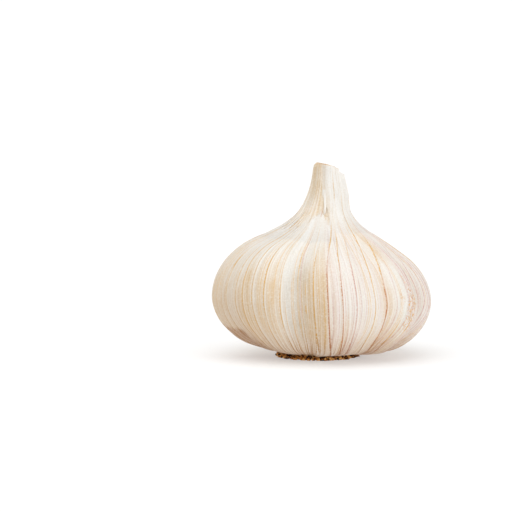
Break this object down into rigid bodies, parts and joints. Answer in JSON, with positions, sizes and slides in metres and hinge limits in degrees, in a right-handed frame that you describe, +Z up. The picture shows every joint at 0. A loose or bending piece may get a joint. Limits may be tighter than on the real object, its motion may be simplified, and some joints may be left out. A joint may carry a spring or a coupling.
{
  "type": "garlic bulb",
  "caption": "Whole unpeeled garlic bulb with cloves bulging under a ribbed papery skin, a short cut neck and trimmed roots; food prop that stands upright.",
  "frame": {"origin": "on the surface the bulb stands on, under the middle of its bounding box", "axes": "+Z up through the neck, +X to the right of the picture across the bulb's widest way, -Y towards the viewer of the picture"},
  "size_m": [0.0599, 0.0568, 0.0531],
  "materials": {
    "garlic_skin": "dry papery skin, satin, cream white with tan and pinkish-brown veins",
    "root_fibre": "dry, rough, tan to dark brown"
  },
  "bodies": {
    "root": {"bulb": "garlic_skin", "root_plate": "root_fibre"}
  },
  "joints": []
}
